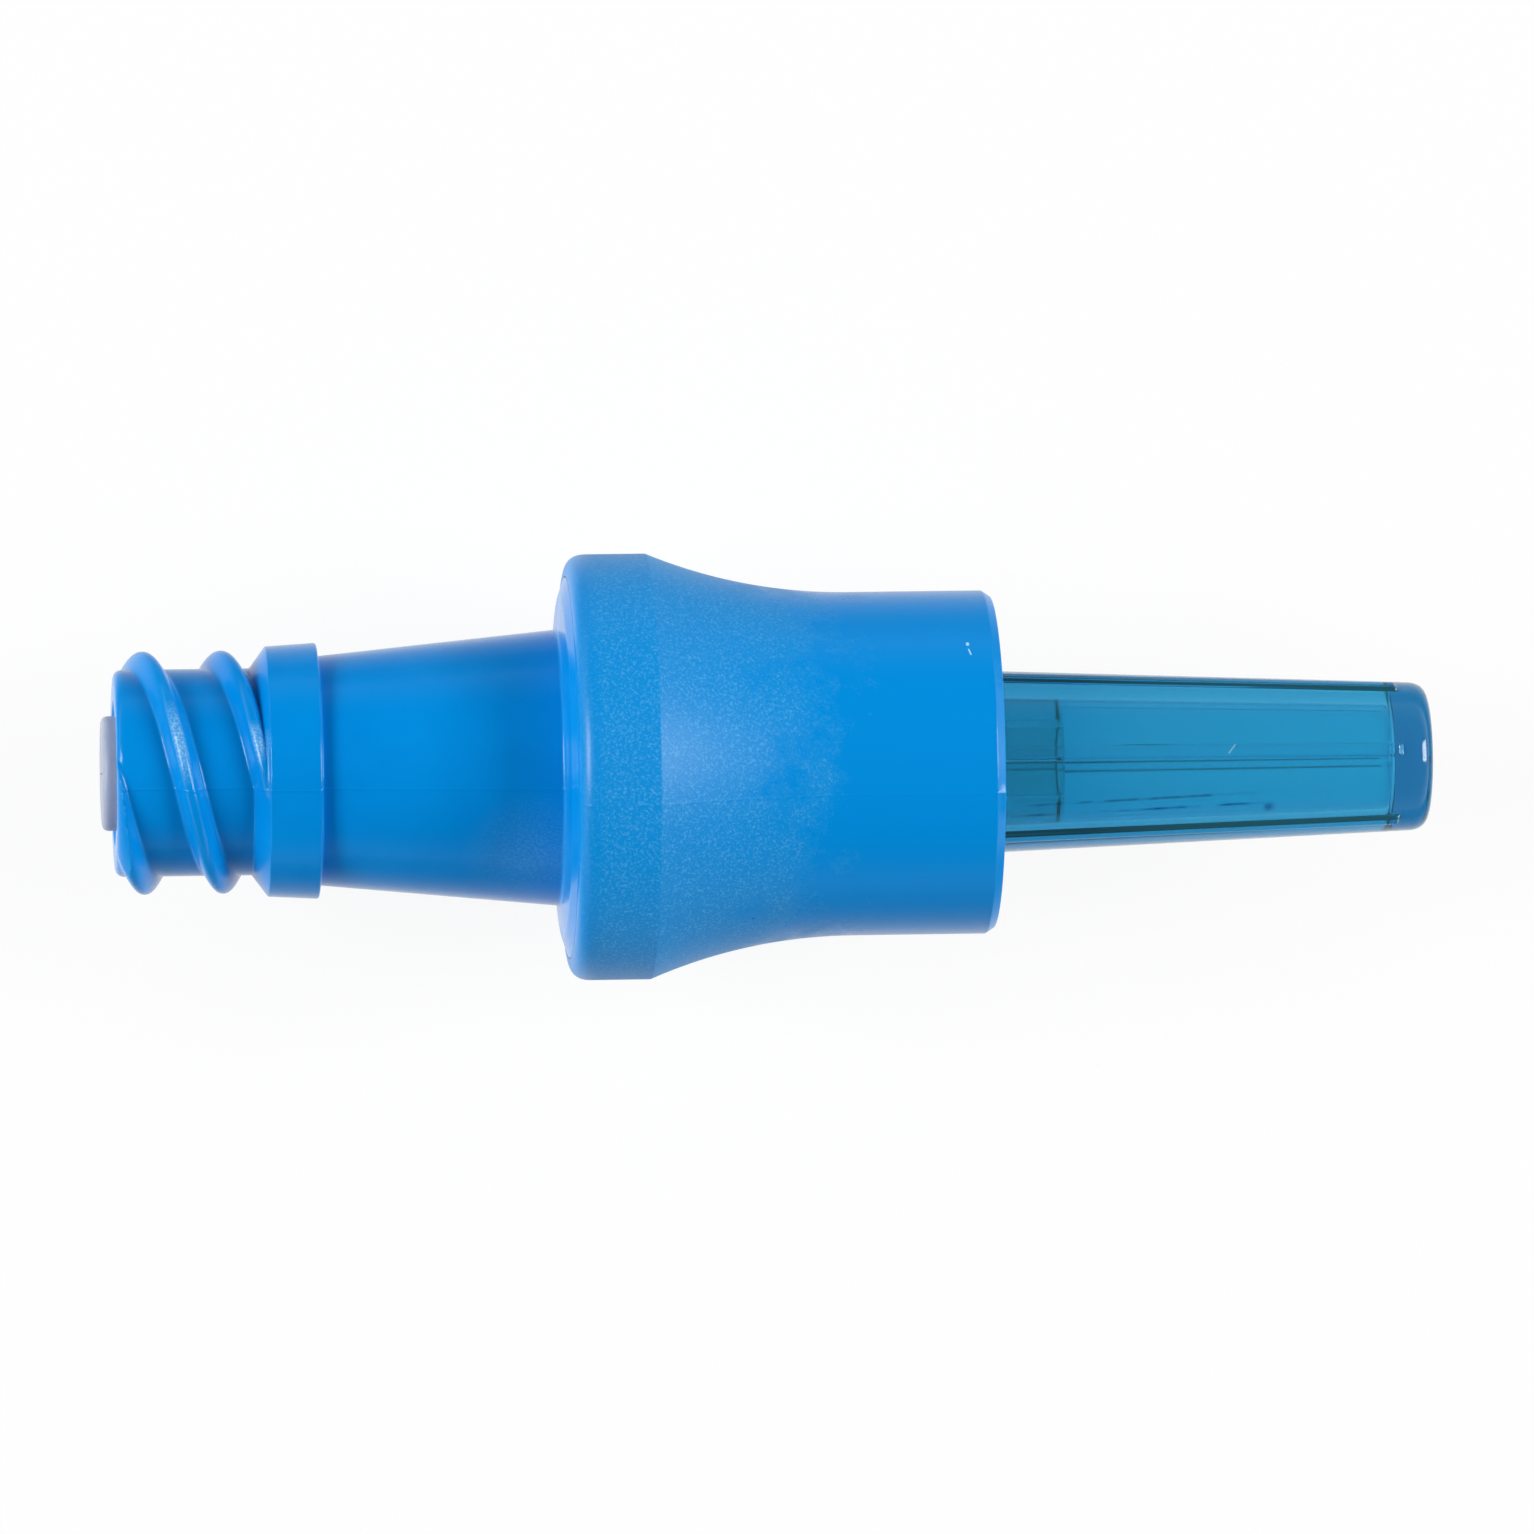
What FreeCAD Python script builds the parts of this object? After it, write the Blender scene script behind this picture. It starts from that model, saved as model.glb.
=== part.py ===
import FreeCAD, Part
import math
import os

# Needle free connector: a luer-lock inlet closed by a silicone valve, a free-turning luer-lock skirt at the
# outlet, and a push-on cap over the outlet luer. Millimetres. The axis is +X, from the inlet to the outlet,
# and the origin is the centre of the inlet's end face. Angles about the axis run from +Y towards +Z.

# Luer taper, six per cent on the diameter
luer_slope = 0.03

# Inlet barrel and its bore
barrel_radius = 3.30
barrel_length = 4.35
barrel_edge_chamfer = 0.15
bore_mouth_radius = 2.15
bore_mouth_chamfer = 0.20
bore_depth = 7.6

# Lock thread on the barrel
thread_lead = 5.0
thread_starts = 2
thread_height = 0.575
thread_base_width = 0.92
thread_crest_width = 0.36
thread_phase = 0.94

# Stop ring behind the thread
ring_length = 2.13
ring_chamfer = 0.51
ring_front_radius = 3.99
ring_back_radius = 4.085
ring_edge_chamfer = 0.08

# Tapered neck
neck_length = 7.67
neck_front_radius = 3.655
neck_back_radius = 4.41
neck_bore_radius = 2.90

# Flange that closes the mouth of the skirt
flange_rim_width = 0.56
flange_face_rise = 0.12
flange_rim_rise = 0.19
flange_rim_length = 1.20

# Valve chamber behind the flange
chamber_length = 4.24
chamber_outer_radius = 4.55
seat_wall = 0.55
seat_ledge = 0.45
spigot_depth = 1.10

# Silicone valve
button_inset = 0.32
button_height = 0.40
button_chamfer = 0.16
lip_front = 0.40
lip_length = 0.90
lip_chamfer = 0.30
stem_bore_radius = 0.85
head_thickness = 2.60
slit_length = 2.40
slit_width = 0.06
fold_count = 3
fold_depth = 0.55
fold_lead_in = 1.10
fold_run_out = 1.02
fold_bore_radius = 1.70
valve_flange_thickness = 0.86

# Outlet stem with the male luer
end_plate_thickness = 1.00
hub_radius = 3.10
bead_height = 0.30
bead_length = 0.50
luer_length = 7.30
luer_tip_radius = 1.97
luer_tip_chamfer = 0.12
lumen_radius = 1.10
lumen_funnel = 0.55

# Luer-lock skirt
skirt_radius = 6.80
skirt_lip_round = 0.62
skirt_lip_land = 0.08
skirt_lip_flats = 3
skirt_band_end = 17.03
flare_radius = 16.5
collar_radius = 5.49
collar_chamfer_length = 0.28
collar_chamfer_height = 0.19
cavity_ledge = 0.45
floor_thickness = 1.40
collar_depth = 5.70
collar_bore_radius = 4.00
collar_mouth_chamfer = 0.15

# Cap
cap_length = 18.8
cap_mouth_radius = 3.10
cap_end_radius = 2.35
cap_end_round = 0.62
cap_end_flats = 3
cap_end_wall = 1.25
cap_dome = 0.08
cap_mouth_chamfer = 0.15
rib_count = 6
rib_width = 0.42
rib_height = 0.16
rib_shoulder = 0.08
rib_mouth_gap = 0.60
rib_end_gap = 1.12
rib_phase = 85.0

# Fits between the pieces
lip_clearance = 0.025
stem_clearance = 0.10
fold_clearance = 0.18
clamp_clearance = 0.02
weld_clearance = 0.02
flange_clearance = 0.05
cavity_clearance = 0.15
hub_clearance = 0.05
end_play = 0.06
cap_clearance = 0.02
cap_seat_gap = 0.40

# Depth to which a ridge or rib is sunk into its wall before the two are fused
fusing_depth = 0.12

# Radii that follow from the fits
thread_crest_radius = barrel_radius + thread_height
counterbore_radius = skirt_radius - skirt_lip_round - skirt_lip_land
flange_radius = counterbore_radius - flange_clearance
cavity_radius = flange_radius - cavity_ledge
cavity_back_radius = chamber_outer_radius + cavity_clearance
seat_radius = chamber_outer_radius - seat_wall
chamber_radius = seat_radius - seat_ledge
button_radius = bore_mouth_radius - button_inset
stem_radius = bore_mouth_radius - luer_slope * bore_depth - stem_clearance
fold_crest_radius = neck_bore_radius - fold_clearance

# Places along the axis
ring_front = barrel_length
ring_back = ring_front + ring_length
neck_back = ring_back + neck_length
flange_face = neck_back + flange_face_rise
flange_front = flange_face + flange_rim_rise
flange_back = flange_front + flange_rim_length
chamber_back = flange_back + chamber_length
spigot_front = chamber_back - spigot_depth
seat_front = spigot_front - valve_flange_thickness - 2 * clamp_clearance
fold_front = bore_depth + fold_lead_in
fold_back = seat_front - fold_run_out
end_plate_back = chamber_back + end_plate_thickness
floor_front = end_plate_back + end_play
floor_back = floor_front + floor_thickness
bead_front = floor_back + end_play
hub_back = bead_front + bead_length
luer_tip = hub_back + luer_length
collar_rim = floor_back + collar_depth
cap_mouth = hub_back + cap_seat_gap
cap_end = cap_mouth + cap_length

AXIS = FreeCAD.Vector(1, 0, 0)
ORIGIN = FreeCAD.Vector(0, 0, 0)


def at(x, r):
    """Point of the half section, r away from the axis."""
    return FreeCAD.Vector(x, r, 0)


def straight(points):
    """Straight runs through points given as (x, r)."""
    ends = [at(*point) for point in points]
    return [Part.makeLine(a, b) for a, b in zip(ends, ends[1:])]


def turned(edges):
    """Solid of revolution about the axis, from the edges of a closed half section."""
    return Part.Face(Part.Wire(Part.__sortEdges__(edges))).revolve(ORIGIN, AXIS, 360)


def small_round(centre, radius, start, end, flats):
    """Points of a small convex round, laid out as short flats, between two angles from +X in degrees."""
    points = []
    for step in range(flats + 1):
        angle = math.radians(start + (end - start) * step / flats)
        points.append((centre[0] + radius * math.cos(angle), centre[1] + radius * math.sin(angle)))
    return points


def bore_radius(x):
    """Radius of the tapered inlet bore."""
    return bore_mouth_radius - luer_slope * x


def luer_radius(x):
    """Radius of the male luer."""
    return luer_tip_radius + luer_slope * (luer_tip - x)


def thread_ridge():
    """One ridge of the lock thread, wound right-handed and trimmed by the barrel's end face.

    Its section is a trapezium, sunk a little into the barrel. Its far end runs out under the stop ring.
    """
    flank = (thread_base_width - thread_crest_width) / 2 / (thread_crest_radius - barrel_radius)
    foot = thread_base_width / 2 + flank * fusing_depth
    crest = thread_crest_width / 2
    front = thread_phase - thread_lead / 2
    length = ring_front + ring_chamfer - front
    section = Part.makePolygon([
        FreeCAD.Vector(barrel_radius - fusing_depth, 0, -foot),
        FreeCAD.Vector(thread_crest_radius, 0, -crest),
        FreeCAD.Vector(thread_crest_radius, 0, crest),
        FreeCAD.Vector(barrel_radius - fusing_depth, 0, foot),
        FreeCAD.Vector(barrel_radius - fusing_depth, 0, -foot),
    ])
    helix = Part.Wire(Part.makeHelix(thread_lead, length, barrel_radius))
    swept = helix.makePipeShell([section], True, True)

    # The helix is wound about Z from +X: this lays it along the axis, starting half a turn before +Y
    swept.rotate(ORIGIN, FreeCAD.Vector(1, 1, 1), 120)
    swept.rotate(ORIGIN, AXIS, -180)
    swept.translate(at(front, 0))
    span = Part.makeCylinder(2 * thread_crest_radius, ring_back - ring_edge_chamfer, ORIGIN, AXIS)
    return swept.common(span)


def inlet_bore():
    """The space inside the inlet housing: luer bore, neck, chamber and the valve's seat."""
    mouth = bore_radius(bore_mouth_chamfer)
    return turned(straight([
        (0, 0),
        (0, mouth + bore_mouth_chamfer),
        (bore_mouth_chamfer, mouth),
        (bore_depth, bore_radius(bore_depth)),
        (bore_depth, neck_bore_radius),
        (flange_front, neck_bore_radius),
        (flange_front, chamber_radius),
        (seat_front, chamber_radius),
        (seat_front, seat_radius),
        (chamber_back, seat_radius),
        (chamber_back, 0),
        (0, 0),
    ]))


def inlet_housing():
    """Barrel with its lock thread, stop ring, neck, flange and valve chamber, moulded in one piece."""
    body = turned(straight([
        (0, 0),
        (0, barrel_radius - barrel_edge_chamfer),
        (barrel_edge_chamfer, barrel_radius),
        (ring_front, barrel_radius),
        (ring_front + ring_chamfer, ring_front_radius),
        (ring_back - ring_edge_chamfer, ring_back_radius),
        (ring_back, ring_back_radius - ring_edge_chamfer),
        (ring_back, neck_front_radius),
        (neck_back, neck_back_radius),
        (flange_face, flange_radius - flange_rim_width),
        (flange_front, flange_radius),
        (flange_back, flange_radius),
        (flange_back, chamber_outer_radius),
        (chamber_back, chamber_outer_radius),
        (chamber_back, 0),
        (0, 0),
    ]))
    ridges = []
    for start in range(thread_starts):
        one = thread_ridge()
        one.rotate(ORIGIN, AXIS, 360 * start / thread_starts)
        ridges.append(one)
    return body.fuse(ridges).cut(inlet_bore()).removeSplitter()


def folds():
    """Points of the valve's ring-shaped folds, from front to back."""
    pitch = (fold_back - fold_front) / fold_count
    points = []
    for fold in range(fold_count):
        x = fold_front + fold * pitch
        points += [(x, fold_crest_radius - fold_depth), (x + pitch / 2, fold_crest_radius)]
    points.append((fold_back, fold_crest_radius - fold_depth))
    return points


def silicone_valve():
    """Slit head, hollow stem, folded sleeve and base flange of the valve, moulded in one piece."""
    lip_back = lip_front + lip_length
    sleeve = folds()
    step = sleeve[0][1] - stem_radius
    flange_front_face = seat_front + clamp_clearance
    flange_edge = seat_radius - weld_clearance
    base = spigot_front - clamp_clearance
    cavity_front = head_thickness - button_height
    body = turned(straight(
        [
            (-button_height, 0),
            (-button_height, button_radius - button_chamfer),
            (button_chamfer - button_height, button_radius),
            (lip_front - lip_chamfer, button_radius),
            (lip_front, bore_radius(lip_front) - lip_clearance),
            (lip_back, bore_radius(lip_back) - lip_clearance),
            (lip_back + lip_chamfer, stem_radius),
            (fold_front - step, stem_radius),
        ]
        + sleeve
        + [
            (flange_front_face, sleeve[-1][1]),
            (flange_front_face, flange_edge),
            (base, flange_edge),
            (base, fold_bore_radius),
            (fold_front, fold_bore_radius),
            (fold_front - fold_bore_radius + stem_bore_radius, stem_bore_radius),
            (cavity_front, stem_bore_radius),
            (cavity_front, 0),
            (-button_height, 0),
        ]
    ))
    slit = Part.makeBox(
        head_thickness + stem_bore_radius, slit_width, slit_length,
        FreeCAD.Vector(-button_height - stem_bore_radius / 2, -slit_width / 2, -slit_length / 2),
    )
    return body.cut(slit)


def outlet_stem():
    """Clear end plate with its spigot, the hub that carries the skirt, and the male luer."""
    spigot = seat_radius - weld_clearance
    bead = hub_radius + bead_height
    tip_start = luer_tip - luer_tip_chamfer
    return turned(straight([
        (spigot_front, lumen_radius + lumen_funnel),
        (spigot_front, spigot),
        (chamber_back, spigot),
        (chamber_back, chamber_outer_radius),
        (end_plate_back, chamber_outer_radius),
        (end_plate_back, hub_radius),
        (bead_front, hub_radius),
        (bead_front, bead),
        (hub_back - bead_height, bead),
        (hub_back, hub_radius),
        (hub_back, luer_radius(hub_back)),
        (tip_start, luer_radius(tip_start)),
        (luer_tip, luer_radius(tip_start) - luer_tip_chamfer),
        (luer_tip, lumen_radius),
        (spigot_front + lumen_funnel, lumen_radius),
        (spigot_front, lumen_radius + lumen_funnel),
    ]))


def flare():
    """Concave arc from the skirt's grip band down to the collar, and the place where it ends."""
    drop = skirt_radius - collar_radius
    angle = math.acos(1 - drop / flare_radius)
    end = skirt_band_end + flare_radius * math.sin(angle)
    middle = at(
        end - flare_radius * math.sin(angle / 2),
        collar_radius + flare_radius * (1 - math.cos(angle / 2)),
    )
    arc = Part.Arc(at(skirt_band_end, skirt_radius), middle, at(end, collar_radius))
    return arc.toShape(), end


def lock_skirt():
    """Skirt with its rounded lip, grip band, concave flare and collar, moulded in one piece."""
    shoulder = flange_back + end_play
    hole = hub_radius + hub_clearance
    lip = small_round(
        (flange_front + skirt_lip_round, skirt_radius - skirt_lip_round),
        skirt_lip_round, 180, 90, skirt_lip_flats,
    )
    arc, flare_end = flare()
    outside = straight([(flange_front, counterbore_radius)] + lip + [(skirt_band_end, skirt_radius)]) + [arc]
    collar = straight([
        (flare_end, collar_radius),
        (collar_rim - collar_chamfer_length, collar_radius),
        (collar_rim, collar_radius - collar_chamfer_height),
        (collar_rim, collar_bore_radius + collar_mouth_chamfer),
    ])
    inside = straight([
        (collar_rim, collar_bore_radius + collar_mouth_chamfer),
        (collar_rim - collar_mouth_chamfer, collar_bore_radius),
        (floor_back, collar_bore_radius),
        (floor_back, hole),
        (floor_front, hole),
        (floor_front, cavity_back_radius),
        (shoulder, cavity_radius),
        (shoulder, counterbore_radius),
        (flange_front, counterbore_radius),
    ])
    return turned(outside + collar + inside)


def cap_surface(x):
    """Radius of the cap's tapered outside."""
    share = (x - cap_mouth) / (cap_length - cap_end_round - cap_dome)
    return cap_mouth_radius + share * (cap_end_radius - cap_mouth_radius)


def cap_rib(angle):
    """One lengthwise grip rib with a rounded top, lying along the cap's taper."""
    front = cap_mouth + rib_mouth_gap
    back = cap_end - rib_end_gap
    side = FreeCAD.Vector(0, 0, rib_width / 2)
    foot = FreeCAD.Vector(0, -fusing_depth, 0)
    shoulder = FreeCAD.Vector(0, rib_height - rib_shoulder, 0)
    crest = FreeCAD.Vector(0, rib_height, 0)
    section = Part.Wire([
        Part.makeLine(foot - side, shoulder - side),
        Part.Arc(shoulder - side, crest, shoulder + side).toShape(),
        Part.makeLine(shoulder + side, foot + side),
        Part.makeLine(foot + side, foot - side),
    ])
    run = at(back, cap_surface(back)) - at(front, cap_surface(front))
    rib = Part.Face(section).extrude(run)
    rib.translate(at(front, cap_surface(front)))
    rib.rotate(ORIGIN, AXIS, angle)
    return rib


def luer_cap():
    """Closed tapered cap with lengthwise ribs, whose bore follows the male luer."""
    bottom = cap_end - cap_end_wall
    mouth_bore = luer_radius(cap_mouth + cap_mouth_chamfer) + cap_clearance
    end_start = cap_end - cap_dome - cap_end_round
    end = small_round((end_start, cap_end_radius - cap_end_round), cap_end_round, 90, 0, cap_end_flats)
    body = turned(straight(
        [
            (bottom, 0),
            (bottom, luer_radius(bottom) + cap_clearance),
            (cap_mouth + cap_mouth_chamfer, mouth_bore),
            (cap_mouth, mouth_bore + cap_mouth_chamfer),
            (cap_mouth, cap_mouth_radius),
        ]
        + end
        + [(cap_end, 0), (bottom, 0)]
    ))
    ribs = [cap_rib(rib_phase + 360 * i / rib_count) for i in range(rib_count)]
    return body.fuse(ribs).removeSplitter()


nodes = {
    "inlet_housing": inlet_housing(),
    "silicone_valve": silicone_valve(),
    "outlet_stem": outlet_stem(),
    "lock_skirt": lock_skirt(),
    "luer_cap": luer_cap(),
}
os.makedirs("parts", exist_ok=True)
for name, shape in nodes.items():
    shape.exportStep("parts/" + name + ".step")
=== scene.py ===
import bpy
import math
from mathutils import Matrix, Vector


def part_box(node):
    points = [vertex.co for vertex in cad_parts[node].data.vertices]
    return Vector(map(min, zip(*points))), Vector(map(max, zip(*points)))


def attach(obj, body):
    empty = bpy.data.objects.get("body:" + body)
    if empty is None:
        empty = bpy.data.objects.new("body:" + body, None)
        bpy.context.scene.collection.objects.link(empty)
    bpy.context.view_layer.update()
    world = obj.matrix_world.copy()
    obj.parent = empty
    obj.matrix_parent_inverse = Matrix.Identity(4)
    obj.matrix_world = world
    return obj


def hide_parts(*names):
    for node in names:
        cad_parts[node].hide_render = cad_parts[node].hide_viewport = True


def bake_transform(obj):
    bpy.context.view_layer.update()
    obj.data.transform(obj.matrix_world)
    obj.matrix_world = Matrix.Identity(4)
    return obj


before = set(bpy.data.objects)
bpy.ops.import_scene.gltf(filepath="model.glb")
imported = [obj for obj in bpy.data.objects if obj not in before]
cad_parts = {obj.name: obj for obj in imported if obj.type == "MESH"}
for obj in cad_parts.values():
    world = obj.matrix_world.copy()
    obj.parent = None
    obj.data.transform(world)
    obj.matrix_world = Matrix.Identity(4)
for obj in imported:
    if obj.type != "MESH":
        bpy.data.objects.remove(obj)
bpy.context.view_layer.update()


# Inlet housing: the connector's body, with the female luer-lock inlet at its left end. It is one
# injection moulding in an opaque blue polycarbonate blend, with a two-start lock thread, a stop ring, a
# tapered neck and the flange that closes the skirt's mouth. The mould's halves leave a line along it.
MM = 0.001
TURN = 2 * math.pi

# Distances along the axis from the inlet's end face, radii and widths, all in millimetres
barrel_radius = 3.30
thread_lead = 5.0
thread_starts = 2
thread_height = 0.575
thread_phase = 0.94
ridge_foot_half = 0.47
ridge_crest_half = 0.16
ridge_rounding = 0.45
ridge_fillet = 0.09
ridge_lead_in = 0.15
ridge_run_out = 0.6
ring_front = 4.35
ring_shoulder = 4.86
ring_back = 6.48
ring_shoulder_radius = 3.99
ring_back_radius = 4.085
neck_front_radius = 3.655
neck_back = 14.15
neck_back_radius = 4.41
neck_foot = 14.27
neck_foot_radius = 5.49
flange_front = 14.46
flange_back = 15.66
flange_radius = 6.08
chamber_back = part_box("inlet_housing")[1][0] / MM
chamber_radius = 4.55
chamber_bore = 3.55
seat_front = 17.90
seat_radius = 4.00
neck_bore = 2.90
inlet_depth = 7.6
inlet_bore = 2.15
inlet_chamfer = 0.20
luer_slope = 0.03
skin_depth = 0.25
parting_angle = math.radians(99)
parting_height = 0.018
parting_width = 0.03


def inlet_radius(x):
    """Radius of the inlet's bore, whose taper is six per cent on the diameter."""
    return inlet_bore - luer_slope * x


# Each corner is (x, radius, rounding), and a fourth number is the step of the points on the run after it
housing_corners = [
    (0, barrel_radius, 0.32, 0.05),
    (ring_front, barrel_radius, 0.10, 0.08),
    (ring_shoulder, ring_shoulder_radius, 0.07),
    (ring_back, ring_back_radius, 0.09),
    (ring_back, neck_front_radius, 0.08),
    (neck_back, neck_back_radius, 0.14),
    (neck_foot, neck_foot_radius, 0.9),
    (flange_front, flange_radius, 0.03),
    (flange_back, flange_radius, 0.04),
    (flange_back, chamber_radius, 0.15),
    (chamber_back, chamber_radius, 0),
    (chamber_back, seat_radius, 0),
    (seat_front, seat_radius, 0),
    (seat_front, chamber_bore, 0),
    (flange_front, chamber_bore, 0.2),
    (flange_front, neck_bore, 0.1),
    (inlet_depth, neck_bore, 0.2),
    (inlet_depth, inlet_radius(inlet_depth), 0.05),
    (inlet_chamfer, inlet_radius(inlet_chamfer), 0.08),
    (0, inlet_bore + inlet_chamfer, 0.05),
]


def outline(corners):
    """Points of a closed outline, with its corners rounded and a close point on each side of them."""
    most_of_run = 0.98
    arcs = []
    for i, corner in enumerate(corners):
        here = Vector(corner[:2])
        previous = corners[i - 1]
        following = corners[(i + 1) % len(corners)]
        before = Vector(previous[:2]) - here
        after = Vector(following[:2]) - here
        rounding = corner[2]
        if rounding == 0:
            arcs.append([here])
            continue
        setback = min(
            rounding / math.tan(before.angle(after) / 2),
            most_of_run * before.length * rounding / (rounding + previous[2]),
            most_of_run * after.length * rounding / (rounding + following[2]),
        )
        first = here + before.normalized() * setback
        last = here + after.normalized() * setback
        count = 8 if rounding > 0.3 else 5
        arcs.append([
            first.lerp(here, t / count).lerp(here.lerp(last, t / count), t / count)
            for t in range(count + 1)
        ])
    points = []
    for i, arc in enumerate(arcs):
        run = arcs[(i + 1) % len(arcs)][0] - arc[-1]
        step = corners[i][3] if len(corners[i]) > 3 else run.length + 1
        guard = min(0.04, run.length / 4)
        places = {guard, run.length - guard}
        steps = range(1, int(run.length / step) + 1)
        places.update(step * k for k in steps if step * k < run.length - guard)
        points += arc
        if run.length > 0.01:
            points += [arc[-1] + run.normalized() * place for place in sorted(places)]
    return [tuple(p) for p in points]


def even_angles(count):
    """Angles round the axis, from +Y towards +Z."""
    return [TURN * i / count for i in range(count)]


sharp_angle = math.radians(40)


def turned(name, points, angles, raised=None):
    """Mesh object turned about the axis through a closed loop of (x, radius) points.

    raised(x, radius, angle), where it is given, is the radius that a point takes instead.
    """
    vertices = []
    rings = []
    for x, radius in points:
        if radius < 1e-6:
            rings.append([len(vertices)] * len(angles))
            vertices.append((x * MM, 0, 0))
            continue
        rings.append(range(len(vertices), len(vertices) + len(angles)))
        for angle in angles:
            r = (raised(x, radius, angle) if raised else radius) * MM
            vertices.append((x * MM, r * math.cos(angle), r * math.sin(angle)))
    faces = []
    for ring, following in zip(rings, rings[1:] + rings[:1]):
        for j in range(len(angles)):
            k = (j + 1) % len(angles)
            corners = tuple(dict.fromkeys((ring[j], ring[k], following[k], following[j])))
            if len(corners) > 2:
                faces.append(corners)
    mesh = bpy.data.meshes.new(name)
    mesh.from_pydata(vertices, [], faces)
    mesh.validate()
    mesh.shade_smooth()
    mesh.set_sharp_from_angle(angle=sharp_angle)
    piece = bpy.data.objects.new(name, mesh)
    bpy.context.scene.collection.objects.link(piece)
    return piece


def eased_max(a, b, ease):
    """The larger of two values, eased over where they cross as a moulded fillet is."""
    overlap = max(ease - abs(a - b), 0)
    return max(a, b) + overlap * overlap / (4 * ease)


def ridge_rise(x, angle, phase):
    """Share of its full height that a two-start thread's ridge has at a point, negative beside it.

    The phase is the place along the axis where a ridge's middle crosses the +Y side.
    """
    pitch = thread_lead / thread_starts
    offset = (x - phase - thread_lead * angle / TURN + pitch / 2) % pitch - pitch / 2
    flank = (ridge_foot_half - abs(offset)) / (ridge_foot_half - ridge_crest_half)
    return -eased_max(-flank, -1, ridge_rounding)


def parting_line(radius, angle, line_angle):
    """Height of the fine line that the mould's two halves leave on opposite sides of a piece."""
    across = min(abs(angle - line_angle), abs(angle - line_angle - math.pi)) * radius
    return parting_height * math.exp(-(across / parting_width) ** 2)


def housing_surface(x, radius, angle):
    """The barrel's thread ridges and the mould's parting line, raised from the turned form.

    The bores stay plain, and so do the flange and all that is behind it.
    """
    if radius < barrel_radius - skin_depth or x > flange_front - 0.1:
        return radius
    if x < ring_front + ridge_run_out:
        edge = min(radius - barrel_radius, 0)
        rise = min(thread_height * ridge_rise(x, angle, thread_phase), ridge_lead_in + x)
        radius = eased_max(max(radius, barrel_radius), barrel_radius + rise, ridge_fillet) + edge
    return radius + parting_line(radius, angle, parting_angle)


def angles_with_line(count, line_angle):
    """Even angles with close ones added where the parting line runs, on both sides."""
    steps = (-0.018, -0.012, -0.006, 0, 0.006, 0.012, 0.018)
    close = [side + step for side in (line_angle, line_angle + math.pi) for step in steps]
    return sorted(even_angles(count) + close)


housing = turned(
    "housing_moulding", outline(housing_corners), angles_with_line(300, parting_angle), housing_surface,
)


def linear(code):
    """Linear colour from an sRGB hex code."""
    channels = [int(code[i:i + 2], 16) / 255 for i in (1, 3, 5)]
    return [c / 12.92 if c <= 0.04045 else ((c + 0.055) / 1.055) ** 2.4 for c in channels] + [1]


def add(tree, kind, settings=None, links=None):
    """Adds a node. Settings are its properties and input values, and links feed its inputs."""
    made = tree.nodes.new(kind)
    for key, value in (settings or {}).items():
        if isinstance(key, int) or key in made.inputs:
            made.inputs[key].default_value = value
        else:
            setattr(made, key, value)
    for key, output in (links or {}).items():
        tree.links.new(output, made.inputs[key])
    return made


def new_material(name):
    """An empty material with its node tree, its output node and the object's own coordinates."""
    material = bpy.data.materials.new(name)
    material.use_nodes = True
    tree = material.node_tree
    tree.nodes.clear()
    output = add(tree, "ShaderNodeOutputMaterial")
    place = add(tree, "ShaderNodeTexCoord").outputs["Object"]
    return material, tree, output, place


def patch(tree, place, centre, reach):
    """1 at a point of the object, fading to 0 at its reach. Both are in millimetres."""
    away = add(
        tree, "ShaderNodeVectorMath", {"operation": "DISTANCE", 1: [c * MM for c in centre]},
        {0: place},
    )
    return add(
        tree, "ShaderNodeMapRange", {"From Max": reach * MM, "To Min": 1.0, "To Max": 0.0},
        {"Value": away.outputs["Value"]},
    ).outputs["Result"]


def product(tree, one, other):
    """Two shares multiplied."""
    return add(
        tree, "ShaderNodeMath", {"operation": "MULTIPLY"}, {0: one, 1: other},
    ).outputs["Value"]


def largest(tree, shares):
    """The largest of several shares."""
    most = shares[0]
    for share in shares[1:]:
        most = add(
            tree, "ShaderNodeMath", {"operation": "MAXIMUM"}, {0: most, 1: share},
        ).outputs["Value"]
    return most


# Polycarbonate blend from a polished mould: an even, saturated blue with a soft gloss. Where the neck has
# been rubbed, fine pale scuffs show, about 0.07 mm wide. On two of the thread's crests the pale marks are
# partly rubbing and partly a painted highlight, where the crests catch the light. The pigment leaves little
# white in the gloss, so the specular level is low. Noise scales are in waves a millimetre.
gloss_blue, tree, output, place = new_material("polycarbonate_moulded_gloss_blue")
flow = add(tree, "ShaderNodeTexNoise", {"Scale": 0.35 / MM, "Detail": 2.0}, {"Vector": place})
tint = add(tree, "ShaderNodeValToRGB", None, {"Fac": flow.outputs["Fac"]})
tint.color_ramp.elements[0].position = 0.3
tint.color_ramp.elements[0].color = linear("#0087D8")
tint.color_ramp.elements[1].position = 0.7
tint.color_ramp.elements[1].color = linear("#008DDF")
across_axis = add(
    tree, "ShaderNodeVectorMath", {"operation": "MULTIPLY", 1: (0, 1, 1)}, {0: place},
)
out_from_axis = add(
    tree, "ShaderNodeVectorMath", {"operation": "LENGTH"}, {0: across_axis.outputs["Vector"]},
)
rub_and_glint_from = 3.74
rub_and_glint_fully = 3.84
crest = add(
    tree, "ShaderNodeMapRange", {"From Min": rub_and_glint_from * MM, "From Max": rub_and_glint_fully * MM},
    {"Value": out_from_axis.outputs["Value"]},
).outputs["Result"]
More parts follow.
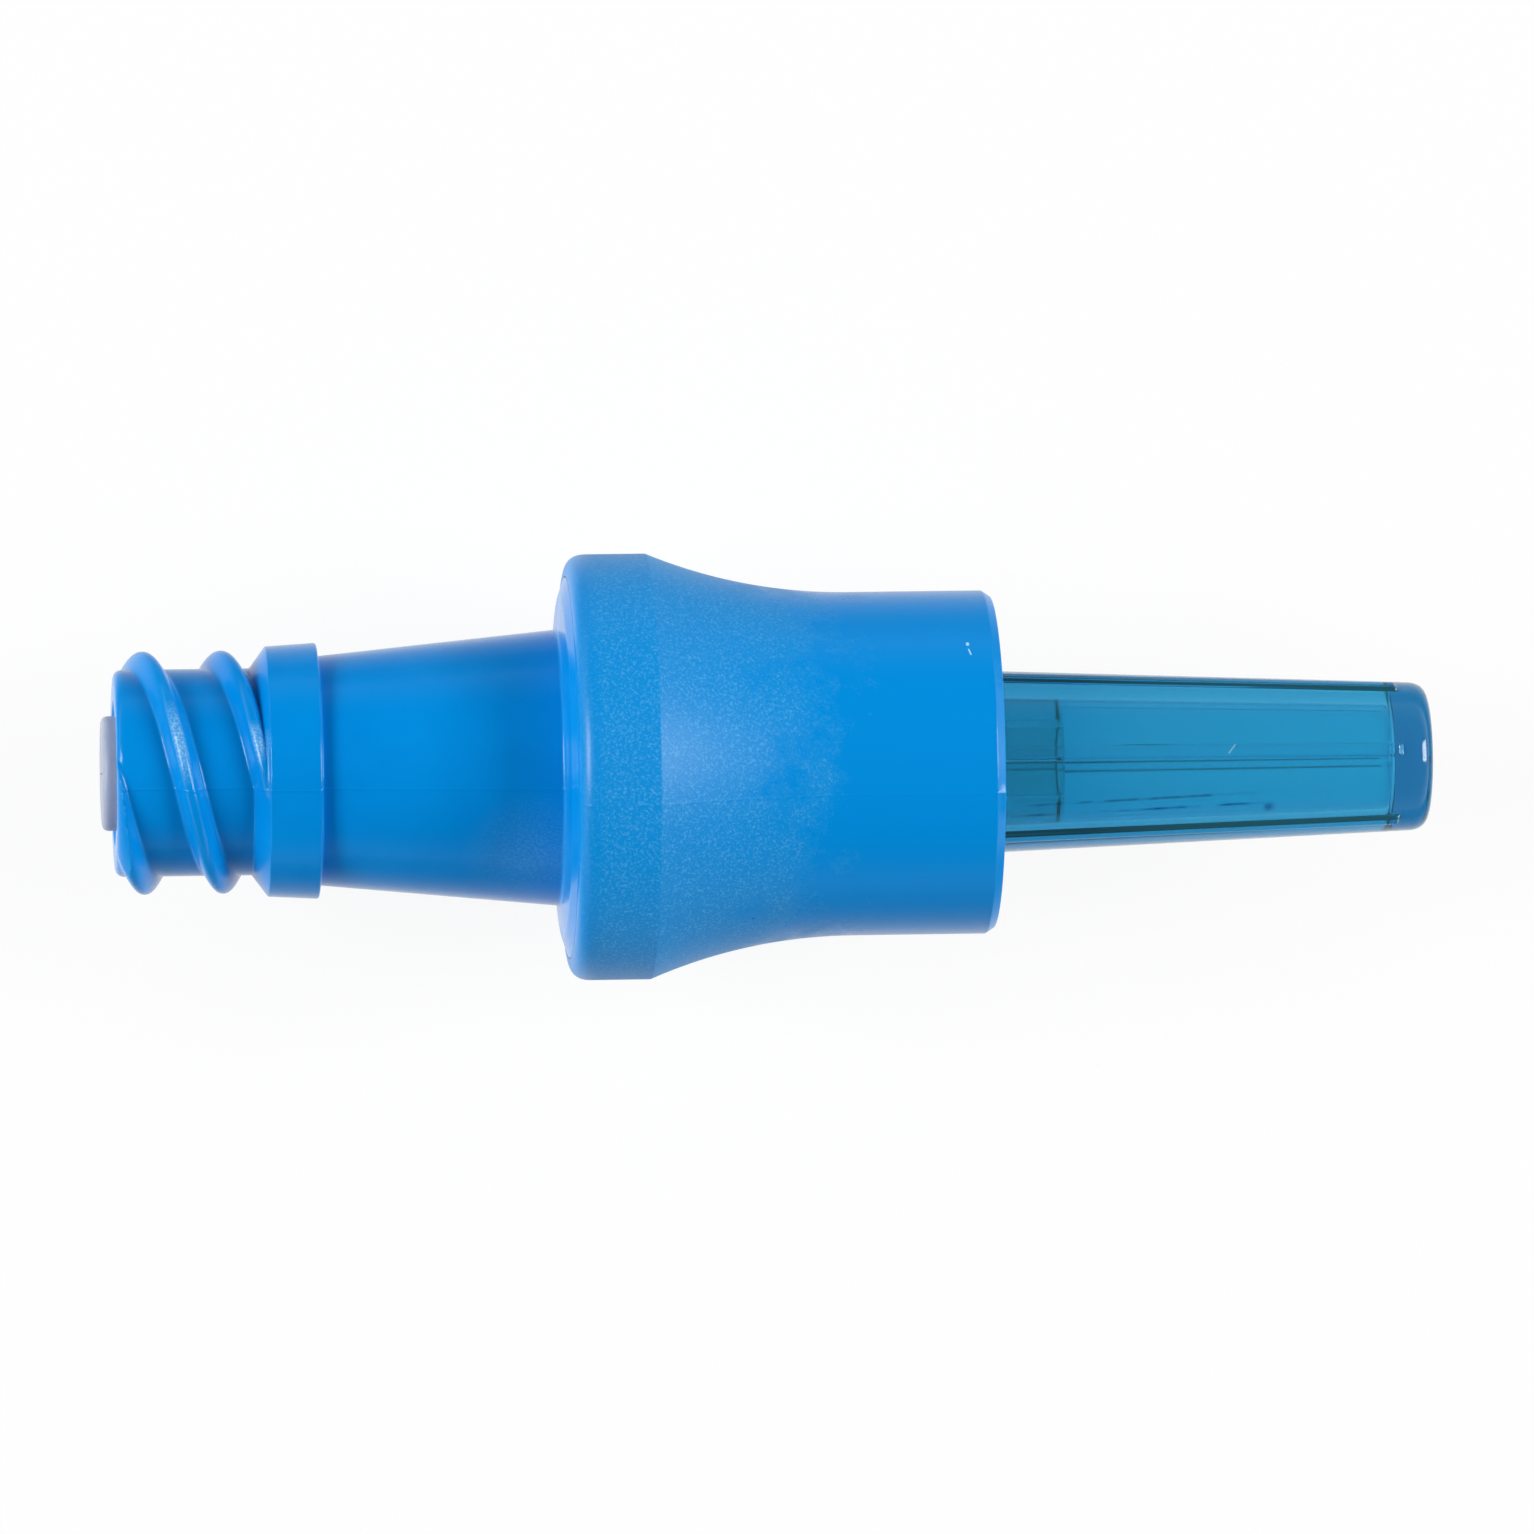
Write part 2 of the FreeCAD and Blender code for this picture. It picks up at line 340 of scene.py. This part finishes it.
# On the two thread ridges the pale marks are partly rubbing and partly painted highlight, where the crests
# catch the light
first_ridge_rub_and_glint = ((1.95, 1.0, 3.70), 1.5, 0.8)
second_ridge_rub_and_glint = ((4.15, 0.9, 3.75), 0.8, 1.0)
neck_rub = ((13.2, -2.7, 2.9), 2.4, 0.16)
rub_and_glint_places = product(tree, crest, largest(tree, [
    add(
        tree, "ShaderNodeMath", {"operation": "MULTIPLY", 1: strength},
        {0: patch(tree, place, centre, reach)},
    ).outputs["Value"]
    for centre, reach, strength in (first_ridge_rub_and_glint, second_ridge_rub_and_glint, neck_rub)
]))
rub_and_glint_noise = add(
    tree, "ShaderNodeTexNoise", {"Scale": 14 / MM, "Detail": 2.0, "Roughness": 0.6}, {"Vector": place},
)
scuff_and_glint_streaks = add(
    tree, "ShaderNodeMapRange", {"From Min": 0.42, "From Max": 0.72, "To Min": 0.25, "To Max": 1.4},
    {"Value": rub_and_glint_noise.outputs["Fac"]},
)
scuffs_and_glints = add(
    tree, "ShaderNodeMath", {"operation": "MULTIPLY", "use_clamp": True},
    {0: scuff_and_glint_streaks.outputs["Result"], 1: rub_and_glint_places},
)
# Pale scuffs on the neck, and pale scuffs with painted glints on the thread's crests
colour = add(
    tree, "ShaderNodeMix", {"data_type": "RGBA", 7: linear("#9ED6F7")},
    {0: scuffs_and_glints.outputs["Value"], 6: tint.outputs["Color"]},
)
gloss = add(
    tree, "ShaderNodeMapRange",
    {"From Min": 0.30, "From Max": 0.70, "To Min": 0.15, "To Max": 0.22},
    {"Value": flow.outputs["Fac"]},
)
ripple = add(
    tree, "ShaderNodeBump", {"Strength": 0.3, "Distance": 0.005 * MM}, {"Height": flow.outputs["Fac"]},
)
shader = add(
    tree, "ShaderNodeBsdfPrincipled", {"IOR": 1.55, "Specular IOR Level": 0.24},
    {
        "Base Color": colour.outputs[2], "Roughness": gloss.outputs["Result"],
        "Normal": ripple.outputs["Normal"],
    },
)
tree.links.new(shader.outputs["BSDF"], output.inputs["Surface"])
housing.data.materials.append(gloss_blue)
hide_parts("inlet_housing")
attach(housing, "housing")


# Valve: one moulding in soft medical silicone, slightly milky. Its slit head is the button in the inlet.
# The folded sleeve behind it pushes the head back out, and its base flange is clamped in the housing.
button_height = 0.40
button_radius = 1.83
lip_front = 0.40
lip_back = 1.30
lip_ramp = 0.30
lip_radius = 2.113
head_back = 2.20
sleeve_back = 8.35
sleeve_radius = 1.822
sleeve_bore_back = 7.85
sleeve_bore = 0.85
fold_front = 8.70
fold_back = 16.88
fold_count = 3
fold_valley = 2.17
fold_crest = 2.72
fold_bore = 1.70
valve_flange_front = 17.92
valve_flange_back = 18.78
valve_flange_radius = 3.98

valve_corners = [
    (-button_height, 0, 0),
    (-button_height, button_radius, 0.24),
    (lip_front - lip_ramp, button_radius, 0.08),
    (lip_front, lip_radius, 0.12),
    (lip_back, lip_radius - luer_slope * (lip_back - lip_front), 0.12),
    (lip_back + lip_ramp, sleeve_radius, 0.12),
    (sleeve_back, sleeve_radius, 0.2),
]
fold_pitch = (fold_back - fold_front) / fold_count
for fold in range(fold_count):
    valve_corners += [
        (fold_front + fold * fold_pitch, fold_valley, 0.25),
        (fold_front + (fold + 0.5) * fold_pitch, fold_crest, 0.45),
    ]
valve_corners += [
    (fold_back, fold_valley, 0.25),
    (valve_flange_front, fold_valley, 0.2),
    (valve_flange_front, valve_flange_radius, 0.06),
    (valve_flange_back, valve_flange_radius, 0.06),
    (valve_flange_back, fold_bore, 0.06),
    (fold_front, fold_bore, 0.3),
    (sleeve_bore_back, sleeve_bore, 0.3),
    (head_back, sleeve_bore, 0.15),
    (head_back, 0, 0),
]
valve = turned("valve_silicone", outline(valve_corners), even_angles(144))

# The slit is cut right through the head by a thin blade
slit_length = 2.4
slit_width = 0.05
blade_ends = (-2 * button_height * MM, (head_back + 0.4) * MM)
half_width = slit_width * MM / 2
half_length = slit_length * MM / 2
blade_mesh = bpy.data.meshes.new("slit_blade")
blade_mesh.from_pydata(
    [
        (x, y, z)
        for x in blade_ends for y in (-half_width, half_width) for z in (-half_length, half_length)
    ],
    [], [(0, 1, 3, 2), (4, 6, 7, 5), (0, 4, 5, 1), (2, 3, 7, 6), (0, 2, 6, 4), (1, 5, 7, 3)],
)
blade = bpy.data.objects.new("slit_blade", blade_mesh)
bpy.context.scene.collection.objects.link(blade)
cut = valve.modifiers.new("slit", "BOOLEAN")
cut.object = blade
cut.solver = "EXACT"
bpy.context.view_layer.update()
slit_mesh = bpy.data.meshes.new_from_object(valve.evaluated_get(bpy.context.evaluated_depsgraph_get()))
slit_mesh.set_sharp_from_angle(angle=sharp_angle)
valve.modifiers.clear()
valve.data = slit_mesh
bpy.data.objects.remove(blade)

# Silicone lets light a little way in, so the button looks soft and lilac-grey against the blue
silicone, tree, output, place = new_material("silicone_moulded_milky")
cloud = add(tree, "ShaderNodeTexNoise", {"Scale": 0.9 / MM, "Detail": 3.0}, {"Vector": place})
tint = add(tree, "ShaderNodeValToRGB", None, {"Fac": cloud.outputs["Fac"]})
tint.color_ramp.elements[0].color = linear("#98A3BA")
tint.color_ramp.elements[1].color = linear("#B4BCCB")
dimple = add(
    tree, "ShaderNodeBump", {"Strength": 0.3, "Distance": 0.006 * MM}, {"Height": cloud.outputs["Fac"]},
)
shader = add(
    tree, "ShaderNodeBsdfPrincipled",
    {
        "Roughness": 0.42, "IOR": 1.41, "Subsurface Weight": 0.35,
        "Subsurface Scale": 0.8 * MM, "Subsurface Radius": (1.0, 0.8, 0.9),
    },
    {"Base Color": tint.outputs["Color"], "Normal": dimple.outputs["Normal"]},
)
tree.links.new(shader.outputs["BSDF"], output.inputs["Surface"])
valve.data.materials.clear()
valve.data.materials.append(silicone)
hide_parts("silicone_valve")
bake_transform(valve)


# Outlet stem: the clear polycarbonate plug that closes the valve chamber and is welded to it. It carries
# the skirt on its hub, behind a snap bead, and ends in the male luer.
spigot_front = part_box("outlet_stem")[0][0] / MM
luer_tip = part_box("outlet_stem")[1][0] / MM
luer_tip_radius = 1.97
lumen_radius = 1.10
spigot_radius = 3.98
funnel_radius = 1.65
end_plate_back = chamber_back + 1.0
hub_radius = 3.10
bead_radius = 3.40
bead_front = 22.42
bead_flat = 0.20
hub_back = 22.92


def luer_radius(x):
    """Radius of the male luer, whose taper is six per cent on the diameter."""
    return luer_tip_radius + luer_slope * (luer_tip - x)


stem_corners = [
    (spigot_front, funnel_radius, 0),
    (spigot_front, spigot_radius, 0.05),
    (chamber_back, spigot_radius, 0),
    (chamber_back, chamber_radius, 0.03),
    (end_plate_back, chamber_radius, 0.06),
    (end_plate_back, hub_radius, 0.10),
    (bead_front, hub_radius, 0.04),
    (bead_front, bead_radius, 0.06),
    (bead_front + bead_flat, bead_radius, 0.08),
    (hub_back, hub_radius, 0.08),
    (hub_back, luer_radius(hub_back), 0.15),
    (luer_tip, luer_tip_radius, 0.16),
    (luer_tip, lumen_radius, 0.05),
    (spigot_front + funnel_radius - lumen_radius, lumen_radius, 0.1),
]
stem = turned("stem_clear", outline(stem_corners), even_angles(192))

# Clear polycarbonate from a polished mould, with the faint haze that thick walls have. Its refraction is
# set well under the real 1.585, at which the luer would mirror the dark inside of the connector.
clear_plastic, tree, output, place = new_material("polycarbonate_moulded_clear")
haze = add(tree, "ShaderNodeTexNoise", {"Scale": 0.6 / MM, "Detail": 2.0}, {"Vector": place})
smooth = add(
    tree, "ShaderNodeMapRange", {"To Min": 0.05, "To Max": 0.12}, {"Value": haze.outputs["Fac"]},
)
shader = add(
    tree, "ShaderNodeBsdfPrincipled",
    {"Base Color": linear("#F4F9F6"), "IOR": 1.22, "Transmission Weight": 0.92},
    {"Roughness": smooth.outputs["Result"]},
)
tree.links.new(shader.outputs["BSDF"], output.inputs["Surface"])
stem.data.materials.append(clear_plastic)
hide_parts("outlet_stem")
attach(stem, "housing")


# Lock skirt: the bell that the fingers turn, with the luer-lock collar as its far end. It is one opaque
# blue moulding that snaps over the stem's hub and spins freely. Spark erosion of the mould gives its
# bell a fine matte grain, which fades out along the flare towards the smooth collar.
skirt_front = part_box("lock_skirt")[0][0] / MM
collar_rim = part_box("lock_skirt")[1][0] / MM
skirt_radius = 6.80
mouth_radius = 6.10
lip_rounding = 0.66
band_end = 17.03
flare_radius = 16.5
collar_radius = 5.49
collar_bore = 4.00
collar_chamfer_length = 0.28
collar_chamfer_height = 0.19
collar_lead_in = 0.15
cavity_front = 15.72
cavity_front_radius = 5.60
cavity_back_radius = 4.70
hub_bore = 3.15
web_front = 20.96
web_back = 22.36
skirt_line_angle = math.radians(100.5)
collar_thread_height = 0.50
collar_thread_phase = 23.76
collar_thread_end = 0.25
collar_thread_fade = 0.4
burr_height = 0.07
burr_reach = 0.12
burrs = ((62.7, 0.03), (101.0, 0.04), (105.5, 0.05))

flare_angle = math.acos(1 - (skirt_radius - collar_radius) / flare_radius)
flare_end = band_end + flare_radius * math.sin(flare_angle)
flare_steps = 24
skirt_corners = [
    (skirt_front, mouth_radius, 0.02),
    (skirt_front, skirt_radius, lip_rounding),
    (band_end, skirt_radius, 0.10),
]
for i in range(1, flare_steps + 1):
    angle = flare_angle * (1 - i / flare_steps)
    skirt_corners.append((
        flare_end - flare_radius * math.sin(angle),
        collar_radius + flare_radius * (1 - math.cos(angle)),
        0,
    ))
skirt_corners += [
    (collar_rim - collar_chamfer_length, collar_radius, 0.08),
    (collar_rim, collar_radius - collar_chamfer_height, 0.07),
    (collar_rim, collar_bore + collar_lead_in, 0.05),
    (collar_rim - collar_lead_in, collar_bore, 0.03, 0.07),
    (web_back, collar_bore, 0.12),
    (web_back, hub_bore, 0.04),
    (web_front, hub_bore, 0.04),
    (web_front, cavity_back_radius, 0.20),
    (cavity_front, cavity_front_radius, 0.05),
    (cavity_front, mouth_radius, 0.05),
]


def skirt_surface(x, radius, angle):
    """The collar's inner thread, the parting line and the burrs that the mould left on the rim."""
    in_collar_bore = abs(radius - collar_bore) < 0.2 and x > web_back - 0.01
    if in_collar_bore:
        fade = min(max((collar_rim - collar_thread_end - x) / collar_thread_fade, 0), 1)
        return radius - max(ridge_rise(x, angle, collar_thread_phase), 0) * collar_thread_height * fade
    if radius < collar_radius - skin_depth:
        return radius
    raised = 0.5 * parting_line(radius, angle, skirt_line_angle)
    for burr_angle, burr_width in burrs:
        beside = (angle - math.radians(burr_angle)) / burr_width
        before_rim = (x - collar_rim) / burr_reach
        raised += burr_height * math.exp(-beside ** 2 - before_rim ** 2)
    return radius + raised


skirt = turned(
    "skirt_moulding", outline(skirt_corners), angles_with_line(320, skirt_line_angle), skirt_surface,
)


def nick(tree, place, centre, direction, length, width):
    """1 on a short straight mark, such as a scratch, and 0 off it. Its centre and sizes are in millimetres.
    """
    from_centre = add(
        tree, "ShaderNodeVectorMath", {"operation": "SUBTRACT", 1: [c * MM for c in centre]},
        {0: place},
    ).outputs["Vector"]
    across = Vector(direction).cross(Vector((0, centre[1], centre[2]))).normalized()
    beside = add(tree, "ShaderNodeVectorMath", {"operation": "DOT_PRODUCT", 1: across}, {0: from_centre})
    beside = add(tree, "ShaderNodeMath", {"operation": "ABSOLUTE"}, {0: beside.outputs["Value"]})
    thin = add(
        tree, "ShaderNodeMapRange",
        {"From Min": 0.4 * width * MM, "From Max": width * MM, "To Min": 1.0, "To Max": 0.0},
        {"Value": beside.outputs["Value"]},
    )
    short = add(
        tree, "ShaderNodeMapRange", {"From Max": 0.3, "To Max": 1.0},
        {"Value": patch(tree, place, centre, length / 2)},
    )
    return product(tree, thin.outputs["Result"], short.outputs["Result"])


# Polycarbonate blend with a spark-eroded grain about 0.1 mm across and some micrometres deep. The grain
# spreads reflections, so the same blue looks paler there. Its high spots catch the light, and these glints
# are painted into the colour as pale specks.
# It fades out raggedly along the flare, and it is worn smoother on the lip round the skirt's mouth.
etched_blue, tree, output, place = new_material("polycarbonate_spark_eroded_blue")
along = add(tree, "ShaderNodeSeparateXYZ", None, {"Vector": place})
patches = add(
    tree, "ShaderNodeTexNoise", {"Scale": 0.7 / MM, "Detail": 6.0, "Roughness": 0.7},
    {"Vector": place},
)

# The noise moves the fade to and fro along the flare. Its mean is a half, so half its reach is allowed for.
fade_front = 20.2
fade_back = 23.0
ragged_reach = 12.0
edge = add(
    tree, "ShaderNodeMath", {"operation": "MULTIPLY_ADD", 1: ragged_reach * MM},
    {0: patches.outputs["Fac"], 2: along.outputs["X"]},
)
unfaded = add(
    tree, "ShaderNodeMapRange",
    {
        "From Min": (fade_front + ragged_reach / 2) * MM,
        "From Max": (fade_back + ragged_reach / 2) * MM,
        "To Min": 1.0, "To Max": 0.0,
    },
    {"Value": edge.outputs["Value"]},
).outputs["Result"]
lip_wear_front = 14.85
lip_wear_back = 15.30
unworn = add(
    tree, "ShaderNodeMapRange",
    {"From Min": lip_wear_front * MM, "From Max": lip_wear_back * MM, "To Min": 0.4},
    {"Value": along.outputs["X"]},
).outputs["Result"]
matte = product(tree, unfaded, unworn)
grain = add(
    tree, "ShaderNodeTexNoise", {"Scale": 11 / MM, "Detail": 3.0, "Roughness": 0.7}, {"Vector": place},
).outputs["Fac"]
ground = add(
    tree, "ShaderNodeMix", {"data_type": "RGBA", 6: linear("#008BDB"), 7: linear("#008CD8")},
    {0: matte},
)
# Painted highlight: pale specks where the grain's high spots catch the light
speck_highlight = add(
    tree, "ShaderNodeMapRange", {"From Min": 0.50, "From Max": 0.66, "To Max": 0.46}, {"Value": grain},
)
speckled_with_highlights = add(
    tree, "ShaderNodeMix", {"data_type": "RGBA", 7: linear("#62B6EC")},
    {0: product(tree, speck_highlight.outputs["Result"], matte), 6: ground.outputs[2]},
)
collar_nicks = largest(tree, [
    nick(tree, place, (27.0, 3.75, 4.02), (0, 1, -0.93), 0.17, 0.065),
    nick(tree, place, (27.05, 3.50, 4.24), (0.35, -1, 0.8), 0.30, 0.03),
])
marked = add(
    tree, "ShaderNodeMix", {"data_type": "RGBA", 7: linear("#A6E0FF")},
    {0: collar_nicks, 6: speckled_with_highlights.outputs[2]},
)
rough = add(tree, "ShaderNodeMapRange", {"To Min": 0.24, "To Max": 0.43}, {"Value": matte})
texture = add(
    tree, "ShaderNodeBump", {"Strength": 0.9, "Distance": 0.012 * MM},
    {"Height": product(tree, grain, matte)},
)
shader = add(
    tree, "ShaderNodeBsdfPrincipled", {"IOR": 1.55, "Specular IOR Level": 0.26},
    {
        "Base Color": marked.outputs[2], "Roughness": rough.outputs["Result"],
        "Normal": texture.outputs["Normal"],
    },
)
tree.links.new(shader.outputs["BSDF"], output.inputs["Surface"])
skirt.data.materials.append(etched_blue)
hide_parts("lock_skirt")
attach(skirt, "skirt")


# Cap: keeps the outlet luer clean until it is used. It is one thin moulding in tinted polypropylene,
# so the luer's tip shows through it. It is pushed on, and its six lengthwise ribs give a hold.
cap_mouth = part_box("luer_cap")[0][0] / MM
cap_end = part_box("luer_cap")[1][0] / MM
cap_mouth_radius = 3.10
cap_end_radius = 2.35
cap_end_wall = 1.25
cap_clearance = 0.02
cap_mouth_chamfer = 0.15
rib_count = 6
rib_phase = math.radians(85)
rib_half_width = 0.21
rib_shoulder = 0.09
rib_height = 0.16
rib_front = cap_mouth + 0.60
rib_front_slope = 0.05
rib_back = cap_end - 1.06
rib_back_slope = 0.18


def cap_radius(x):
    """Radius of the cap's plain tapered side."""
    cap_slope = (cap_end_radius - cap_mouth_radius) / (cap_end - cap_mouth)
    return cap_mouth_radius + cap_slope * (x - cap_mouth)


def cap_bore(x):
    """Radius of the cap's bore, which grips the luer."""
    return luer_radius(x) + cap_clearance


cap_bottom = cap_end - cap_end_wall
cap_corners = [
    (cap_mouth, cap_bore(cap_mouth) + cap_mouth_chamfer, 0.03),
    (cap_mouth, cap_mouth_radius, 0.10),
]
rib_front_rows = [rib_front + step * rib_front_slope for step in (-1, 0, 1)]
rib_back_rows = [rib_back - step * rib_back_slope / 3 for step in (3, 2, 1, 0)]
for x in rib_front_rows + rib_back_rows:
    cap_corners.append((x, cap_radius(x), 0))
cap_corners += [
    (cap_end - 0.08, cap_end_radius, 0.62),
    (cap_end, cap_end_radius / 2, 0.5),
    (cap_end, 0, 0),
    (cap_bottom, 0, 0),
    (cap_bottom, cap_bore(cap_bottom), 0.30),
    (cap_mouth + cap_mouth_chamfer, cap_bore(cap_mouth), 0.05),
]


def cap_surface(x, radius, angle):
    """The cap's ribs, with rounded shoulders and ends."""
    if not rib_front < x < rib_back or radius < cap_bore(x) + 0.2:
        return radius
    spacing = TURN / rib_count
    offset = abs((angle - rib_phase + spacing / 2) % spacing - spacing / 2) * radius
    side = min(max((rib_half_width - offset) / rib_shoulder, 0), 1)
    end = min((x - rib_front) / rib_front_slope, (rib_back - x) / rib_back_slope, 1)
    rise = side * (2 - side) * end * (2 - end)
    return radius + rib_height * rise


rib_mean_radius = 2.7
shoulder_steps = (0.12, 0.15, 0.18, 0.21, 0.23)
rib_angles = [
    rib_phase + TURN * rib / rib_count + side * step / rib_mean_radius
    for rib in range(rib_count) for side in (-1, 1) for step in shoulder_steps
]
cap_angles = sorted(even_angles(300) + [angle % TURN for angle in rib_angles])
cap = turned("cap_moulding", outline(cap_corners), cap_angles, cap_surface)

# Polypropylene tinted blue, from a polished mould: see-through but never quite clear, darker where it is
# thick, and with a waxy gloss. Its colour has a broken dark streak along one side, with a dark spot near
# its end, and a pale scratch on one rib.
tinted, tree, output, place = new_material("polypropylene_moulded_tinted_blue")
haze = add(tree, "ShaderNodeTexNoise", {"Scale": 0.9 / MM, "Detail": 4.0}, {"Vector": place})
scratch = nick(tree, place, (35.55, 0.34, 2.75), (0.61, 0.79, 0), 0.55, 0.035)
# A broken dark streak along one side and a dark spot near its end, darkened in the colour
dark_streak = nick(tree, place, (32.6, -1.62, 2.27), (1, 0.03, 0), 8.6, 0.06)
dark_spot = patch(tree, place, (36.75, -1.55, 2.04), 0.25)
ragged = add(
    tree, "ShaderNodeMapRange", {"From Min": 0.42, "From Max": 0.58}, {"Value": haze.outputs["Fac"]},
)
dark = product(tree, largest(tree, [dark_streak, dark_spot]), ragged.outputs["Result"])
streaked = add(
    tree, "ShaderNodeMix", {"data_type": "RGBA", 6: linear("#6CE7FB"), 7: linear("#0F5C96")},
    {0: dark},
)
colour = add(
    tree, "ShaderNodeMix", {"data_type": "RGBA", 7: linear("#9BD3EC")},
    {0: scratch, 6: streaked.outputs[2]},
)
waxy = add(
    tree, "ShaderNodeMapRange", {"To Min": 0.04, "To Max": 0.10}, {"Value": haze.outputs["Fac"]},
)
clearness = add(tree, "ShaderNodeMapRange", {"To Min": 0.9, "To Max": 0.5}, {"Value": scratch})
shader = add(
    tree, "ShaderNodeBsdfPrincipled", {"IOR": 1.49, "Specular IOR Level": 0.35},
    {
        "Base Color": colour.outputs[2], "Roughness": waxy.outputs["Result"],
        "Transmission Weight": clearness.outputs["Result"],
    },
)
depths = add(
    tree, "ShaderNodeVolumeAbsorption", {"Color": linear("#00AADC"), "Density": 0.7 / MM},
)
tree.links.new(shader.outputs["BSDF"], output.inputs["Surface"])
tree.links.new(depths.outputs["Volume"], output.inputs["Volume"])
cap.data.materials.append(tinted)
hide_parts("luer_cap")
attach(cap, "cap")


# Stage: a white sheet under the connector, which keeps a soft shadow. It looks white to the camera and
# through the clear plastics, and is left out of the gloss, where the room's own table stands in for it.
floor_gap = 0.05
floor_half = 0.6
floor_level = -(skirt_radius + floor_gap) * MM
floor_corners = [
    (-floor_half, -floor_half, floor_level), (floor_half, -floor_half, floor_level),
    (floor_half, floor_half, floor_level), (-floor_half, floor_half, floor_level),
]
floor_mesh = bpy.data.meshes.new("floor")
floor_mesh.from_pydata(floor_corners, [], [(0, 1, 2, 3)])
floor = bpy.data.objects.new("floor", floor_mesh)
bpy.context.scene.collection.objects.link(floor)
floor.visible_glossy = False

# White paper: what looks at it directly, or through the plastics, sees white with a trace of the shadow
paper, tree, output, place = new_material("paper_sweep_white")
rays = add(tree, "ShaderNodeLightPath")
seen = largest(tree, [rays.outputs["Is Camera Ray"], rays.outputs["Is Transmission Ray"]])
whiteness = add(tree, "ShaderNodeMath", {"operation": "MULTIPLY", 1: 0.92}, {0: seen})
sheet = add(tree, "ShaderNodeBsdfDiffuse", {"Color": linear("#F6F6F6")})
white = add(tree, "ShaderNodeEmission", {"Color": (1, 1, 1, 1), "Strength": 1.0})
mixed = add(
    tree, "ShaderNodeMixShader", None,
    {0: whiteness.outputs["Value"], 1: sheet.outputs["BSDF"], 2: white.outputs["Emission"]},
)
tree.links.new(mixed.outputs["Shader"], output.inputs["Surface"])
floor_mesh.materials.append(paper)

# The room: bright walls beyond the connector's two ends, dim walls at its sides, a dim ceiling above the
# camera, and a bright table straight below.
world = bpy.data.worlds.new("studio")
bpy.context.scene.world = world
world.use_nodes = True
tree = world.node_tree
tree.nodes.clear()
output = add(tree, "ShaderNodeOutputWorld")
direction = add(tree, "ShaderNodeTexCoord").outputs["Generated"]
way = add(tree, "ShaderNodeSeparateXYZ", None, {"Vector": direction})
walls = add(
    tree, "ShaderNodeMapRange",
    {"From Min": 0.0, "From Max": 0.5, "To Min": 1.6, "To Max": 0.1},
    {"Value": way.outputs["Z"]},
)
towards_end = add(tree, "ShaderNodeMath", {"operation": "ABSOLUTE"}, {0: way.outputs["X"]})
ends = add(
    tree, "ShaderNodeMapRange",
    {"From Min": 0.3, "From Max": 0.9, "To Min": 0.2, "To Max": 1.0},
    {"Value": towards_end.outputs["Value"]},
)
lit_walls = product(tree, walls.outputs["Result"], ends.outputs["Result"])
table = add(
    tree, "ShaderNodeMapRange",
    {"From Min": -0.35, "From Max": -0.9, "To Min": 0.0, "To Max": 0.9},
    {"Value": way.outputs["Z"]},
)
above = add(
    tree, "ShaderNodeMapRange", {"From Min": -0.1, "From Max": 0.0}, {"Value": way.outputs["Z"]},
)
upper_room = product(tree, lit_walls, above.outputs["Result"])
rays = add(tree, "ShaderNodeLightPath")
level = largest(tree, [upper_room, table.outputs["Result"], rays.outputs["Is Camera Ray"]])
light = add(tree, "ShaderNodeBackground", {"Color": (1, 1, 1, 1)}, {"Strength": level})
tree.links.new(light.outputs["Background"], output.inputs["Surface"])

# Two soft boxes, one beyond each end of the connector and above it
box_size = 0.22
lamp_target = Vector((0.02, 0, 0))
for name, lamp_place, power in (
    ("softbox_left", (-0.38, 0.05, 0.29), 1.95),
    ("softbox_right", (0.42, 0.05, 0.29), 2.0),
):
    lamp_data = bpy.data.lights.new(name, "AREA")
    lamp_data.shape = "SQUARE"
    lamp_data.size = box_size
    lamp_data.energy = power
    lamp = bpy.data.objects.new(name, lamp_data)
    lamp.location = lamp_place
    lamp.rotation_euler = (lamp_target - Vector(lamp_place)).to_track_quat("-Z", "Y").to_euler()
    bpy.context.scene.collection.objects.link(lamp)

# The camera looks down on the connector with a long lens, and is tilted so that the inlet's face shows
camera_distance = 0.48
camera_tilt = math.radians(4.3)
camera_roll = math.radians(0.77)
camera_target = Vector((20.87 * MM, -0.07 * MM, 0))
frame_width = 49.03 * MM
back = Vector((-math.sin(camera_tilt), 0, math.cos(camera_tilt)))
level_right = Vector((math.cos(camera_tilt), 0, math.sin(camera_tilt)))
right = level_right * math.cos(camera_roll) - Vector((0, 1, 0)) * math.sin(camera_roll)
up = back.cross(right)
camera_data = bpy.data.cameras.new("camera")
camera_data.sensor_width = 36
camera_data.lens = camera_data.sensor_width * camera_distance / frame_width
camera_data.clip_start = 0.01
camera = bpy.data.objects.new("camera", camera_data)
turn = Matrix((right, up, back)).transposed().to_4x4()
camera.matrix_world = Matrix.Translation(camera_target + back * camera_distance) @ turn
bpy.context.scene.collection.objects.link(camera)
bpy.context.scene.camera = camera
bpy.context.scene.view_settings.view_transform = "Standard"
